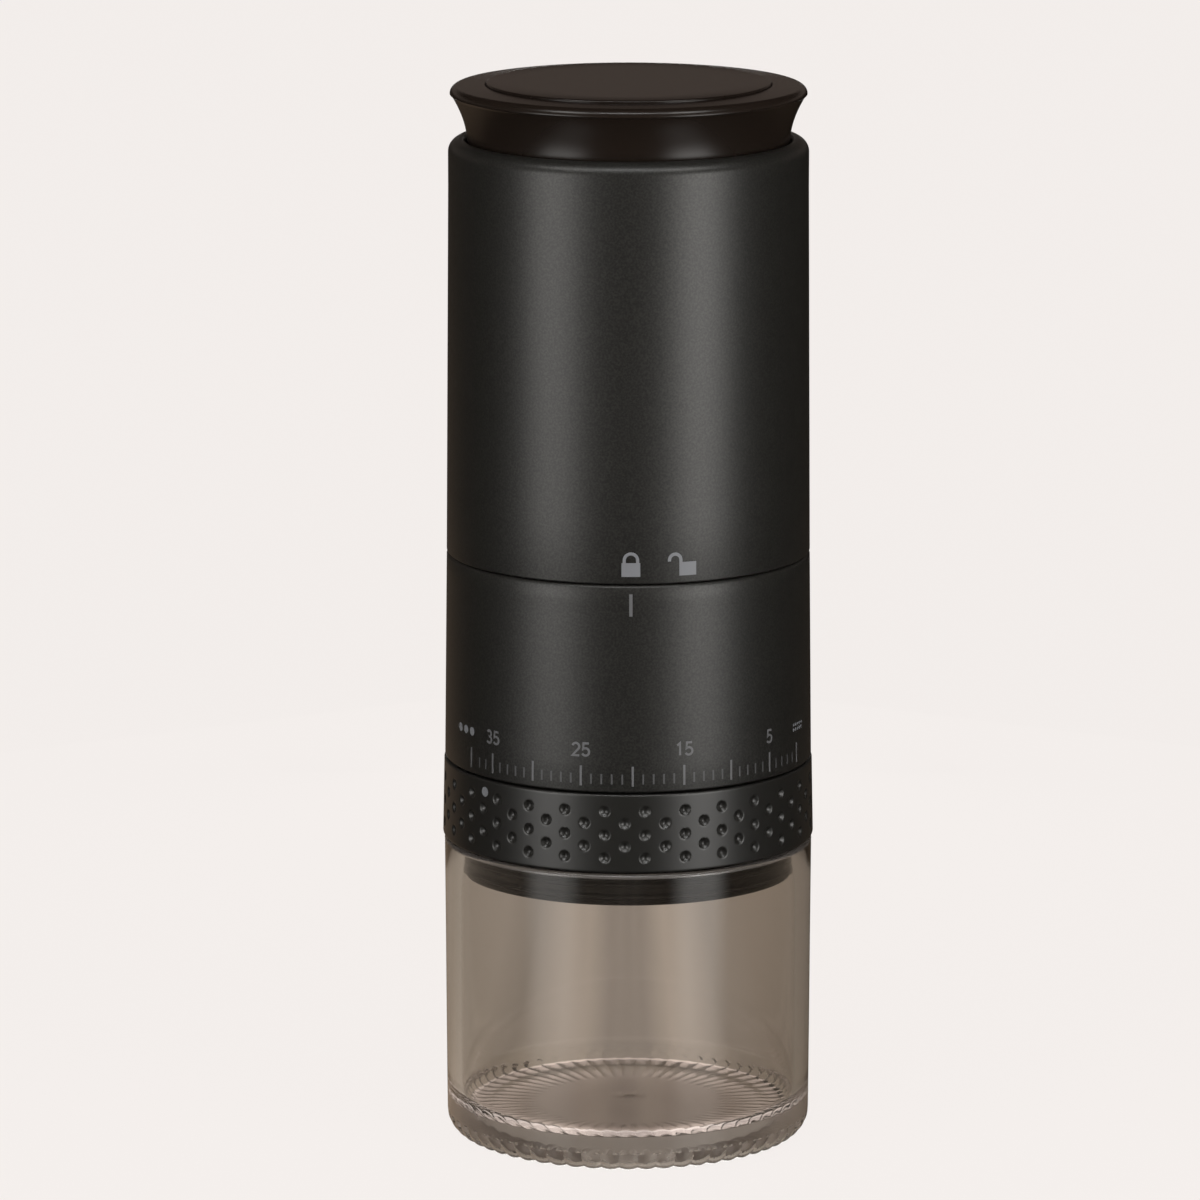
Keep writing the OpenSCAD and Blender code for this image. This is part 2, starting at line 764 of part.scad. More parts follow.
module usb_port() {
    color([0.8, 0.8, 0.8]) translate([0, usb_y, 0]) union() {
        difference() {
            translate([0, 0, board_z1]) linear_extrude(deck_z1 - board_z1) plug_outline(8.94, 3.2);
            translate([0, 0, board_z1 + 0.6]) linear_extrude(8) plug_outline(8.4, 2.6);
        }
        translate([-3.3, -0.35, board_z1 + 0.5]) cube([6.6, 0.7, deck_z1 - board_z1 - 1.2]);
    }
}

module light_ring() {
    color([0.9, 0.95, 1]) tube(10.95, 9.85, deck_plate + 0.7, deck_z1 - 0.02);
}

module control_deck() {
    color([0.1, 0.1, 0.1]) difference() {
        union() {
            disc(bore_radius - 0.1, deck_step - 0.1, deck_z1);
            disc(shell_bore - fit - 0.2, deck_z0, deck_step);
        }
        disc(28, deck_z0 - 1, deck_plate);
        disc(button_radius + 0.1, deck_plate - 1, deck_z1 + 1);
        tube(11, 9.8, deck_plate + 0.6, deck_z1 + 1);
        translate([0, usb_y, deck_plate - 1]) linear_extrude(4) plug_outline(9.14, 3.4);
        around(3, 30.1, 30) disc(0.95, deck_z0 - 1, deck_step - 0.3);
    }
}

module start_button() {
    crown = 2.4;
    low = deck_plate - 1.4;
    ball = (button_radius * button_radius + 0.36) / 1.2;
    post = board_z1 + 1.2 + button_travel;
    color([0.2, 0.2, 0.2]) difference() {
        union() {
            disc(9.2, low, low + 1.2);
            intersection() {
                disc(button_radius, low, deck_z1 + crown);
                translate([0, 0, deck_z1 + crown - ball]) sphere(r = ball);
            }
        }
        tube(button_radius - 1.2, 2, low - 1, deck_z1 + crown - 2);
        disc(2.2, low - 1, post);
    }
}

module upper_housing() {
    chamfer = 0.5;
    corner = 2.4;
    taper_z = up_z1 - 9;
    outline = concat(
        [[shell_bore, up_z0], [seam_radius - chamfer, up_z0], [seam_radius, up_z0 + chamfer],
         [top_radius, taper_z]],
        arc(top_radius - corner, up_z1 - corner, corner, 0, 90, 10),
        [[bore_radius + 0.4, up_z1], [bore_radius, up_z1 - 0.4], [bore_radius, deck_step + 0.05],
         [shell_bore, deck_step + 0.05]]);
    color([0.17, 0.17, 0.17]) rotate_extrude() polygon(outline);
}

// Cap

module cap_shell() {
    skirt = bore_radius - 0.35;
    neck_z = up_z1 - 0.3;
    rim_z = cap_top - 1.9;
    skirt_z = deck_z1 + 0.6;
    lip = 1.2;
    flare_steps = 10;
    flare = [for (i = [0 : flare_steps]) let (t = i / flare_steps)
        [neck_radius + (rim_radius - neck_radius) * pow(t, 1.8), neck_z + (rim_z - neck_z) * t]];
    outline = concat(
        [[skirt - 2, skirt_z], [skirt, skirt_z], [skirt, skirt_z + 0.8], [skirt - 0.8, skirt_z + 0.8],
         [skirt - 0.8, skirt_z + 2.2], [skirt, skirt_z + 2.2], [skirt, neck_z]],
        flare,
        arc(rim_radius - lip, rim_z, lip, 0, 90, 8),
        [[disc_radius + 0.1, cap_top - 0.45], [disc_radius + 0.1, cap_top - 1.8],
         [0, cap_top - 1.8], [0, cap_top - 3.6], [skirt - 2, cap_top - 3.6]]);
    color([0.1, 0.09, 0.085]) rotate_extrude() polygon(outline);
}

module cap_disc() {
    outline = [[0, cap_top - 1.8], [disc_radius, cap_top - 1.8], [disc_radius, cap_top - 0.25],
        [disc_radius - 0.3, cap_top], [0, cap_top]];
    color([0.14, 0.12, 0.11]) rotate_extrude() polygon(outline);
}

module cap_seal() {
    skirt = bore_radius - 0.35;
    seal_z = deck_z1 + 2.1;
    color([0.05, 0.05, 0.05]) rotate_extrude()
        translate([skirt - 0.42, seal_z]) circle(r = 0.36);
}

cup();
cup_collar();
cup_seal();
collar_screws();
chassis();
adjust_ring();
click_ball();
click_spring();
burr_carrier();
carrier_pins();
carrier_spring();
outer_burr();
outer_burr_screws();
inner_burr();
burr_washer();
burr_nut();
drive_shaft();
lower_bearing();
upper_bearing();
driven_dog();
hopper();
hopper_screws();
lower_housing();
bayonet_ring();
spigot_seal();
power_base();
base_screws();
output_bush();
driver_dog();
output_carrier();
planet_b1();
planet_b2();
planet_b3();
stage_carrier();
planet_a1();
planet_a2();
planet_a3();
sun_gear();
gearbox_housing();
gearbox_screws();
motor_plate();
motor_can();
motor_magnets();
motor_rotor();
motor_endcap();
battery_cells();
battery_cradle();
wires();
circuit_board();
board_screws();
push_switch();
usb_port();
light_ring();
control_deck();
start_button();
upper_housing();
cap_shell();
cap_disc();
cap_seal();
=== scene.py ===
"""Looks of the portable burr coffee grinder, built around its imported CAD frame.

The grinder's lengths are in millimetres, and MM turns them into Blender's metres. The panels and
the camera of the studio, and the depth of a material's grain, are in metres. An angle on the
grinder is measured from its front (-Y), and grows towards +X.
"""

import json
import math

import bpy
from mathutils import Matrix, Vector

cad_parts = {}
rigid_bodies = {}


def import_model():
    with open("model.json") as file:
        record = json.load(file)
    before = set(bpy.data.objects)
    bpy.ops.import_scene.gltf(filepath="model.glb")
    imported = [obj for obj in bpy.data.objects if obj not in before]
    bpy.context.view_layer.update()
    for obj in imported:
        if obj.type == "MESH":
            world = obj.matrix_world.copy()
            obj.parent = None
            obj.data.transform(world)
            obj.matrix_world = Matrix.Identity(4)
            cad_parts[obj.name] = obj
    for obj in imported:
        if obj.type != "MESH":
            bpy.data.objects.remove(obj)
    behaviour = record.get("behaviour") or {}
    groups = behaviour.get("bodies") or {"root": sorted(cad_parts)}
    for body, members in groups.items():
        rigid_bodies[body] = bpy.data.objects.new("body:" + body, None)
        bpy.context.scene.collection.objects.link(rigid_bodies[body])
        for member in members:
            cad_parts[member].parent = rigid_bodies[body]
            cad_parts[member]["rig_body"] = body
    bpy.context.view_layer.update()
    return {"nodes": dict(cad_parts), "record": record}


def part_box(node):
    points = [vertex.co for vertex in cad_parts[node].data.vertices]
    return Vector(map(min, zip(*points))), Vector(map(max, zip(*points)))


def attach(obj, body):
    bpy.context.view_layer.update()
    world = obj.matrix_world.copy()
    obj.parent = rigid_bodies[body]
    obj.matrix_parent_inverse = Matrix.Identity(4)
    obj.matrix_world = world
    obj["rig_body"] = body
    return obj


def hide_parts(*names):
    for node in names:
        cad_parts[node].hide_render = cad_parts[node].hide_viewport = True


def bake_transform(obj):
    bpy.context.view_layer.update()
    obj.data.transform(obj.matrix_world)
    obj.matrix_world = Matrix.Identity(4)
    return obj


MM = 0.001
ROUND = 256

# ---------------------------------------------------------------------------
# Frame
# ---------------------------------------------------------------------------

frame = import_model()
nodes = frame["nodes"]
slot_of = {part["node"]: part["material_slot"] for part in frame["record"]["subparts"]}


def level(node, top=False):
    """The height of a CAD node's bottom or top."""
    low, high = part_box(node)
    return (high if top else low).z / MM


def radius(node):
    """The outside radius of a round CAD node."""
    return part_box(node)[1].x / MM


# ---------------------------------------------------------------------------
# Mesh helpers
# ---------------------------------------------------------------------------


def arc(cx, cz, r, start, stop, steps):
    """Points on an arc, with the angles in degrees."""
    angles = [math.radians(start + (stop - start) * i / steps) for i in range(steps + 1)]
    return [(cx + r * math.cos(a), cz + r * math.sin(a)) for a in angles]


def new_object(name, verts, faces, material, smooth_angle=30):
    """A mesh object with smooth shading, except where its faces meet at more than smooth_angle."""
    mesh = bpy.data.meshes.new(name)
    mesh.from_pydata(verts, [], faces)
    mesh.validate()
    mesh.shade_smooth()
    mesh.set_sharp_from_angle(angle=math.radians(smooth_angle))
    mesh.materials.append(material)
    obj = bpy.data.objects.new(name, mesh)
    bpy.context.scene.collection.objects.link(obj)
    return obj


def lathe(name, outline, material, steps=ROUND, shape=None, smooth_angle=30):
    """Turns an outline of (radius, height) points round the Z axis into a closed skin.

    The outline either starts and ends on the axis, or is a ring's closed loop. shape(angle, index, r, z)
    may move a point: it returns its new radius and height.
    """
    verts, rows = [], []
    for index, (r, z) in enumerate(outline):
        if r < 1e-6:
            rows.append([len(verts)] * steps)
            verts.append((0, 0, z * MM))
            continue
        rows.append(list(range(len(verts), len(verts) + steps)))
        for s in range(steps):
            turn = 2 * math.pi * s / steps
            new_r, new_z = shape(turn, index, r, z) if shape else (r, z)
            verts.append((new_r * math.sin(turn) * MM, -new_r * math.cos(turn) * MM, new_z * MM))
    pairs = list(zip(rows, rows[1:]))
    if outline[0][0] > 1e-6:
        pairs.append((rows[-1], rows[0]))
    faces = []
    for low, high in pairs:
        for s in range(steps):
            n = (s + 1) % steps
            corners = [low[s], low[n], high[n], high[s]]
            faces.append([c for i, c in enumerate(corners) if c not in corners[:i]])
    return new_object(name, verts, [f for f in faces if len(f) > 2], material, smooth_angle)


def dress(obj, node, body=None):
    """The piece stands for a CAD node: it rides on the node's body, and the node is hidden."""
    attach(obj, body or nodes[node]["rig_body"])
    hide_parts(node)
    return obj


# ---------------------------------------------------------------------------
# Materials
# ---------------------------------------------------------------------------


def principled(name, color, roughness, metallic=0.0, **sockets):
    """A plain Principled material. Extra sockets are given by name, with underscores for spaces."""
    material = bpy.data.materials.new(name)
    material.use_nodes = True
    shader = material.node_tree.nodes["Principled BSDF"]
    shader.inputs["Base Color"].default_value = (*color, 1)
    shader.inputs["Roughness"].default_value = roughness
    shader.inputs["Metallic"].default_value = metallic
    for key, value in sockets.items():
        shader.inputs[key.replace("_", " ")].default_value = value
    return material


def add_grain(material, scale, strength, distance, detail=2.0):
    """A fine bump, in the object's own space."""
    tree = material.node_tree
    place = tree.nodes.new("ShaderNodeTexCoord")
    noise = tree.nodes.new("ShaderNodeTexNoise")
    noise.inputs["Scale"].default_value = scale
    noise.inputs["Detail"].default_value = detail
    bump = tree.nodes.new("ShaderNodeBump")
    bump.inputs["Strength"].default_value = strength
    bump.inputs["Distance"].default_value = distance
    tree.links.new(place.outputs["Object"], noise.inputs["Vector"])
    tree.links.new(noise.outputs["Fac"], bump.inputs["Height"])
    tree.links.new(bump.outputs["Normal"], tree.nodes["Principled BSDF"].inputs["Normal"])
    return material


def add_flecks(material, scale, low, high):
    """Varies the base colour between two colours in fine flecks, as in metallic paint."""
    tree = material.node_tree
    place = tree.nodes.new("ShaderNodeTexCoord")
    noise = tree.nodes.new("ShaderNodeTexNoise")
    noise.inputs["Scale"].default_value = scale
    noise.inputs["Detail"].default_value = 1.0
    ramp = tree.nodes.new("ShaderNodeValToRGB")
    ramp.color_ramp.elements[0].position = 0.35
    ramp.color_ramp.elements[1].position = 0.7
    ramp.color_ramp.elements[0].color = (*low, 1)
    ramp.color_ramp.elements[1].color = (*high, 1)
    tree.links.new(place.outputs["Object"], noise.inputs["Vector"])
    tree.links.new(noise.outputs["Fac"], ramp.inputs["Fac"])
    tree.links.new(ramp.outputs["Color"], tree.nodes["Principled BSDF"].inputs["Base Color"])
    return material


def body_paint():
    paint = principled("body_paint", (0.014, 0.0135, 0.012), 0.4, metallic=0.2)
    add_flecks(paint, 2600, (0.0095, 0.0091, 0.0081), (0.024, 0.0232, 0.0207))
    return add_grain(paint, 2400, 0.25, 0.00004)


def ring_plastic():
    plastic = principled("ring_plastic", (0.013, 0.0125, 0.0112), 0.34)
    return add_grain(plastic, 3000, 0.2, 0.00004)


def cap_plastic():
    plastic = principled("cap_plastic", (0.013, 0.009, 0.0068), 0.24, Specular_IOR_Level=0.27)
    return add_grain(plastic, 2500, 0.12, 0.00003)


def black_plastic():
    return principled("black_plastic", (0.012, 0.011, 0.01), 0.5, Specular_IOR_Level=0.3)


def clear_plastic():
    return principled(
        "clear_plastic", (0.86, 0.82, 0.78), 0.03, Transmission_Weight=1.0, IOR=1.5
    )


def frosted_plastic(name, clearness):
    """The cup's plastic where its mould was etched, so that it scatters some light."""
    return principled(name, (0.92, 0.84, 0.79), 0.26, Transmission_Weight=clearness, IOR=1.5)


def brushed(name, color, roughness=0.32):
    return add_grain(principled(name, color, roughness, metallic=1.0), 1800, 0.08, 0.00003)


MATERIALS = {
    "body_paint": body_paint(),
    "ring_plastic": ring_plastic(),
    "cap_plastic": cap_plastic(),
    "black_plastic": black_plastic(),
    "clear_plastic": clear_plastic(),
    "seal_rubber": principled("seal_rubber", (0.012, 0.012, 0.012), 0.55),
    "screw_steel": brushed("screw_steel", (0.55, 0.55, 0.55)),
    "bearing_steel": brushed("bearing_steel", (0.62, 0.62, 0.63), 0.2),
    "spring_steel": brushed("spring_steel", (0.5, 0.5, 0.5), 0.28),
    "carrier_aluminium": brushed("carrier_aluminium", (0.62, 0.62, 0.64), 0.35),
    "burr_steel": brushed("burr_steel", (0.42, 0.42, 0.42), 0.3),
    "coupling_plastic": principled("coupling_plastic", (0.04, 0.04, 0.042), 0.5),
    "brass": brushed("brass", (0.78, 0.56, 0.25), 0.28),
    "carrier_steel": brushed("carrier_steel", (0.4, 0.4, 0.4), 0.4),
    "gear_plastic": principled("gear_plastic", (0.7, 0.67, 0.58), 0.4),
    "gearbox_plastic": principled("gearbox_plastic", (0.03, 0.03, 0.032), 0.5),
    "motor_steel": brushed("motor_steel", (0.55, 0.55, 0.57), 0.3),
    "magnet_black": principled("magnet_black", (0.03, 0.03, 0.03), 0.6),
    "rotor_copper": brushed("rotor_copper", (0.6, 0.32, 0.18), 0.35),
    "endcap_plastic": principled("endcap_plastic", (0.62, 0.6, 0.54), 0.5),
    "cell_sleeve": principled("cell_sleeve", (0.05, 0.16, 0.28), 0.3),
    "wire_sleeve": principled("wire_sleeve", (0.3, 0.015, 0.015), 0.45),
    "board_green": principled("board_green", (0.015, 0.09, 0.035), 0.35),
    "light_guide": principled("light_guide", (0.8, 0.82, 0.85), 0.4),
    "deck_plastic": principled("deck_plastic", (0.012, 0.012, 0.012), 0.15),
    "button_rubber": principled("button_rubber", (0.05, 0.05, 0.05), 0.5),
}
PRINT = principled("print_grey", (0.17, 0.175, 0.188), 0.55)
PRINT_DIM = principled("print_dim", (0.11, 0.11, 0.115), 0.55)
PRINT_FAINT = principled("print_faint", (0.06, 0.06, 0.062), 0.55)

for name, node in nodes.items():
    node.data.materials.clear()
    node.data.materials.append(MATERIALS[slot_of[name]])
    node.data.shade_smooth()
    node.data.set_sharp_from_angle(angle=math.radians(30))

# ---------------------------------------------------------------------------
# Cup
# ---------------------------------------------------------------------------

cup_top = level("cup", top=True)
FLUTES = 60
FLUTE_DEPTH = 0.4
FLUTE_TOP = 4.1
FOOT_R = 31.5
CORNER_R = 3.3
CORNER_RISE = 4.05
WALL_R = 34.8
RIM_R = 35.1
CUP_BORE = 31.95
CUP_FLOOR = 6.0
FLUTE_START = 17.5
INNER_CORNER = 3.6
INNER_STEPS = 12
INNER_RIB = 0.16
INNER_TWIST = 5.0
RIM_ROUND = 0.9
GATE_R = 1.5


def build_cup():
    underside = [(0, 1.6), (10, 1.6), (16, 1.6), (17.5, 1.6), (18.3, 1.6), (20, 1.58), (23, 1.5)]
    underside += [(25.5, 1.3), (26.8, 0.8), (27.8, 0.2), (28.6, 0.0), (29.8, 0.0)]
    bends = [-90 + 5.5 * i for i in range(15)] + [-10, -7.5, -5, -2.5, 0]
    corner = []
    for bend in bends:
        a = math.radians(bend)
        corner.append((FOOT_R + CORNER_R * math.cos(a), CORNER_RISE * (1 + math.sin(a))))
    wall = [(WALL_R, 4.6), (34.82, 8), (34.9, 20), (35, 40), (RIM_R, 56.4), (RIM_R, 57.2)]
    rim = arc(RIM_R - RIM_ROUND, cup_top - RIM_ROUND, RIM_ROUND, 0, 90, 6)
    rim += arc(CUP_BORE + 0.6, cup_top - 0.6, 0.6, 90, 180, 6)
    inside = [(CUP_BORE, 50), (CUP_BORE, 30), (CUP_BORE, 12)]
    inside += arc(
        CUP_BORE - INNER_CORNER, CUP_FLOOR + INNER_CORNER, INNER_CORNER, 0, -90, INNER_STEPS
    )
    gate = [(20, CUP_FLOOR), (4, CUP_FLOOR), (1.9, CUP_FLOOR), (1.4, CUP_FLOOR + 0.12)]
    gate += [(0.8, CUP_FLOOR + 0.35), (0.35, CUP_FLOOR + 0.44), (0, CUP_FLOOR + 0.46)]
    outline = underside + corner + wall + rim + inside + gate
    fluted = len(underside) + len(corner)
    inner_corner = len(outline) - len(gate) - (INNER_STEPS + 1)

    def inner_rib(turn, r, z):
        """Slanting ribs on the rounded corner between the wall and the floor."""
        across = (r - (CUP_BORE - INNER_CORNER)) / INNER_CORNER
        if z > CUP_FLOOR + INNER_CORNER or across < 0:
            return r, z
        lean = math.radians(INNER_TWIST) * across
        cut = INNER_RIB * math.sin(math.pi * across) ** 2 * (1 - math.cos(FLUTES * (turn + lean)))
        return r - cut * across, z + cut * (1 - across)

    def flute(turn, index, r, z):
        """Flutes round the foot's outer corner and in its underside."""
        if index >= inner_corner:
            return inner_rib(turn, r, z)
        if index >= fluted or r < FLUTE_START:
            return r, z
        lobe = 1 - abs(math.cos(FLUTES * turn / 2))
        if z < FLUTE_TOP and r > FOOT_R:
            bend = math.atan2(z - CORNER_RISE, r - FOOT_R)
            fade = min(1, (FLUTE_TOP - z) / 0.35)
            cut = FLUTE_DEPTH * lobe * fade
            return r - cut * math.cos(bend), z - cut * math.sin(bend)
        fade = min(1, (r - FLUTE_START) / 2.5)
        return r, z + FLUTE_DEPTH * lobe * fade if r <= FOOT_R else z

    cup = lathe("cup_fluted", outline, MATERIALS["clear_plastic"], FLUTES * 14, flute, 24)
    cup.data.materials.append(frosted_plastic("frosted_foot", 0.7))
    cup.data.materials.append(frosted_plastic("frosted_rim", 0.93))
    foot_slot, rim_slot = 1, 2
    for face in cup.data.polygons:
        at = face.center / MM
        across = math.hypot(at.x, at.y)
        if at.z < 2.2 and across < FOOT_R + 0.5:
            face.material_index = foot_slot
        if at.z > cup_top - 0.8 and across > RIM_R - RIM_ROUND:
            face.material_index = rim_slot
        if across < GATE_R and at.z > CUP_FLOOR:
            face.material_index = foot_slot
    return dress(cup, "cup")


build_cup()

# ---------------------------------------------------------------------------
# Collar and its seal
# ---------------------------------------------------------------------------


def build_collar():
    low, high = level("cup_collar"), level("cup_collar", top=True)
    seal0, seal1 = level("cup_seal") - 0.1, level("cup_seal", top=True) + 0.1
    r = radius("cup_collar")
    bore = 27.0
    corner = 0.9
    groove_r = r - 1
    outline = [(bore + 0.3, low)] + arc(r - corner, low + corner, corner, -90, 0, 6)
    outline += [(r, seal0), (groove_r, seal0), (groove_r, seal1), (r, seal1)]
    outline += [(r, high), (bore, high), (bore, low + 0.3)]
    dress(lathe("collar", outline, MATERIALS["black_plastic"]), "cup_collar")
    lip = radius("cup_seal")
    outline = [(r - 0.95, seal0 + 0.1), (r, seal0 + 0.1), (lip, seal0 + 0.45), (lip, seal0 + 0.9)]
    outline += [(r, seal0 + 1.3), (r, seal0 + 2.3), (lip, seal0 + 2.65), (lip, seal0 + 3.1)]
    outline += [(r, seal0 + 3.5), (r, seal1 - 0.1), (r - 0.95, seal1 - 0.1)]
    dress(lathe("collar_seal", outline, MATERIALS["seal_rubber"]), "cup_seal")


build_collar()

# ---------------------------------------------------------------------------
# Adjusting ring
# ---------------------------------------------------------------------------

DIMPLE_COLUMNS = 29
DIMPLE_R = 1.05
DIMPLE_DEPTH = 0.55
SOFT_EDGE = 1.12
FIRST_COLUMN = 5.0
LONG_ROWS = (2.8, 7.2, 11.7)
SHORT_ROWS = (5.0, 9.4)
RING_TAPER = 0.3
RING_BORE = 30.1
RING_R = radius("adjust_ring")
ring_z0, ring_z1 = level("adjust_ring"), level("adjust_ring", top=True)


def ring_skin(z):
    """The ring's outside radius at a height."""
    return RING_R - RING_TAPER * (z - ring_z0) / (ring_z1 - ring_z0)


def build_ring():
    low, high = ring_z0, ring_z1
    edge = 0.35
    step = 0.2
    rows = int((high - low - 2 * edge) / step)
    outline = [(RING_BORE, low)] + arc(RING_R - edge, low + edge, edge, -90, 0, 4)[:-1]
    first = len(outline)
    heights = [low + edge + (high - low - 2 * edge) * i / rows for i in range(rows + 1)]
    outline += [(ring_skin(z), z) for z in heights]
    last = len(outline)
    outline += arc(ring_skin(high) - edge, high - edge, edge, 0, 90, 4)[1:] + [(RING_BORE, high)]
    pitch = 2 * math.pi / DIMPLE_COLUMNS
    start = math.radians(FIRST_COLUMN)

    def dimples(turn, index, r0, z):
        """Bowls with a soft edge, in rows of three and two by turns."""
        if not first <= index < last:
            return r0, z
        depth = 0
        for rows_here, shift in ((LONG_ROWS, 0), (SHORT_ROWS, 0.5)):
            offset = ((turn - start) / pitch - shift + 0.5) % 1 - 0.5
            across = offset * pitch * r0
            for row in rows_here:
                far = math.hypot(across, z - low - row) / DIMPLE_R
                if far < SOFT_EDGE:
                    bowl = max(0, 1 - far * far)
                    soft = max(0, 1 - far / SOFT_EDGE) ** 2 * 0.12
                    depth = max(depth, DIMPLE_DEPTH * bowl ** 0.9 + soft)
        return r0 - depth, z

    ring = lathe("ring_dimpled", outline, MATERIALS["ring_plastic"], DIMPLE_COLUMNS * 44, dimples, 40)
    return dress(ring, "adjust_ring")


build_ring()

# ---------------------------------------------------------------------------
# Carrier spring: a wire coil built in the CAD spring's place, which is hidden
# ---------------------------------------------------------------------------


def build_carrier_spring():
    low, high = level("carrier_spring"), level("carrier_spring", top=True)
    wire = 0.45
    coil_r = radius("carrier_spring") - wire
    turns = 2
    rings = turns * 72
    sides = 14
    verts, faces = [], []
    for i in range(rings + 1):
        turn = 2 * math.pi * turns * i / rings
        mid = low + wire + (high - low - 2 * wire) * i / rings
        for s in range(sides):
            around = 2 * math.pi * s / sides
            r = coil_r + wire * math.cos(around)
            z = mid + wire * math.sin(around)
            verts.append((r * math.cos(turn) * MM, r * math.sin(turn) * MM, z * MM))
    for i in range(rings):
        for s in range(sides):
            n = (s + 1) % sides
            faces.append([i * sides + s, i * sides + sides + s, i * sides + sides + n, i * sides + n])
    faces.append(list(range(sides)))
    faces.append(list(range(rings * sides + sides - 1, rings * sides - 1, -1)))
    coil = new_object("carrier_coil", verts, faces, MATERIALS["spring_steel"])
    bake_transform(coil)
    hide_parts("carrier_spring")


build_carrier_spring()

# ---------------------------------------------------------------------------
# Sleeves
# ---------------------------------------------------------------------------

low_z0, low_z1 = level("lower_housing"), level("lower_housing", top=True)
up_z0, up_z1 = level("upper_housing"), level("upper_housing", top=True)
FOOT_SLEEVE_R = radius("lower_housing")
SEAM_R = radius("upper_housing")
TOP_R = 33.95
SLEEVE_BORE = 32.45
BORE_R = 30.7
TAPER_END = up_z1 - 9


def sleeve_r(z):
    """The outside radius of the two sleeves at a height."""
    if z < low_z1:
        return FOOT_SLEEVE_R + (SEAM_R - FOOT_SLEEVE_R) * (z - low_z0) / (low_z1 - low_z0)
    return SEAM_R + (TOP_R - SEAM_R) * min(1, (z - up_z0) / (TAPER_END - up_z0))


def build_lower_sleeve():
    edge = 0.35
    outline = [(SLEEVE_BORE, low_z0)] + arc(FOOT_SLEEVE_R - edge, low_z0 + edge, edge, -90, 0, 4)
    outline += [(sleeve_r(z), z) for z in (80, 90, 100, 110)]
    outline += [(SEAM_R, low_z1 - 0.55), (SEAM_R - 0.12, low_z1 - 0.32), (SEAM_R - 0.6, low_z1)]
    outline += [(SLEEVE_BORE, low_z1)]
    dress(lathe("lower_sleeve", outline, MATERIALS["body_paint"]), "lower_housing")


def build_upper_sleeve():
    edge = 0.3
    corner = 2.4
    shoulder = level("control_deck") + 1.65
    outline = [(SLEEVE_BORE, up_z0)] + arc(SEAM_R - edge, up_z0 + edge, edge, -90, 0, 4)
    outline += [(sleeve_r(z), z) for z in (125, 140, 160, TAPER_END)]
    outline += arc(TOP_R - corner, up_z1 - corner, corner, 0, 90, 14)
    outline += [(BORE_R + 0.4, up_z1), (BORE_R, up_z1 - 0.4), (BORE_R, shoulder)]
    outline += [(SLEEVE_BORE, shoulder)]
    dress(lathe("upper_sleeve", outline, MATERIALS["body_paint"]), "upper_housing")


build_lower_sleeve()
build_upper_sleeve()

# ---------------------------------------------------------------------------
# Cap
# ---------------------------------------------------------------------------

cap_top = level("cap_disc", top=True)
NECK_R = 30.4
RIM_CAP_R = radius("cap_shell")
DISC_R = 26.8
DISC_SEAT = 1.8
CAP_PLATE = 3.6
RIM_DROP = 0.7


def cap_outline():
    """The cap's body from its skirt, over the flared neck and the rim, to the disc's seat."""
    skirt = NECK_R - 0.05
    neck_z = up_z1 - 0.3
    rim_z = cap_top - 1.9
    lip = 1.45
    base = level("cap_shell")
    flare = [
        (NECK_R + (RIM_CAP_R - NECK_R) * t**1.8, neck_z + (rim_z - neck_z) * t)
        for t in [i / 20 for i in range(20)]
    ]
    outline = [(skirt - 2, base), (skirt, base), (skirt, base + 0.8), (skirt - 0.8, base + 0.8)]
    outline += [(skirt - 0.8, base + 2.2), (skirt, base + 2.2), (skirt, neck_z)] + flare
    outline += arc(RIM_CAP_R - lip, cap_top - RIM_DROP - lip, lip, 0, 90, 12)
    outline += [(DISC_R + 0.25, cap_top - 0.45), (DISC_R + 0.1, cap_top - 0.6)]
    outline += [(DISC_R + 0.1, cap_top - DISC_SEAT), (0, cap_top - DISC_SEAT)]
    outline += [(0, cap_top - CAP_PLATE), (skirt - 2, cap_top - CAP_PLATE)]
    return outline


def build_cap_pieces():
    dress(lathe("cap_body", cap_outline(), MATERIALS["cap_plastic"]), "cap_shell")
    edge = 0.35
    seat = cap_top - (DISC_SEAT - 0.01)
    face = [(0, seat), (DISC_R, seat)]
    face += arc(DISC_R - edge, cap_top - edge, edge, 0, 90, 5) + [(20, cap_top), (0, cap_top)]
    dress(lathe("cap_face", face, MATERIALS["cap_plastic"]), "cap_disc")


build_cap_pieces()

# ---------------------------------------------------------------------------
# Prints: thin raised marks that follow the sleeve
# ---------------------------------------------------------------------------

INK = 0.03


def on_sleeve(angle, across, z, lift):
    """A point on the sleeve: across is measured along the surface from the angle's meridian."""
    r = sleeve_r(z) + lift
    turn = math.radians(angle) + across / r
    return (r * math.sin(turn) * MM, -r * math.cos(turn) * MM, z * MM)


def mark(name, loops, angle, z, body, material):
    """Closed convex loops of (across, up) points, each made a thin plate on the sleeve."""
    verts, faces = [], []
    for loop in loops:
        n = len(loop)
        base = len(verts)
        for lift in (-INK, INK):
            verts += [on_sleeve(angle, u, z + v, lift) for u, v in loop]
        faces.append(list(range(base + n, base + 2 * n)))
        faces.append(list(range(base + n - 1, base - 1, -1)))
        for i in range(n):
            j = (i + 1) % n
            faces.append([base + i, base + j, base + n + j, base + n + i])
    obj = new_object(name, verts, faces, material)
    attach(obj, body)
    return obj


def rectangle(width, height, cx=0.0, cz=0.0):
    """A rectangle as upright strips, each narrow enough to lie on the curved sleeve."""
    strips = max(1, round(width / 0.5))
    edges = [cx - width / 2 + width * i / strips for i in range(strips + 1)]
    low, high = cz - height / 2, cz + height / 2
    return [[(a, low), (b, low), (b, high), (a, high)] for a, b in zip(edges, edges[1:])]


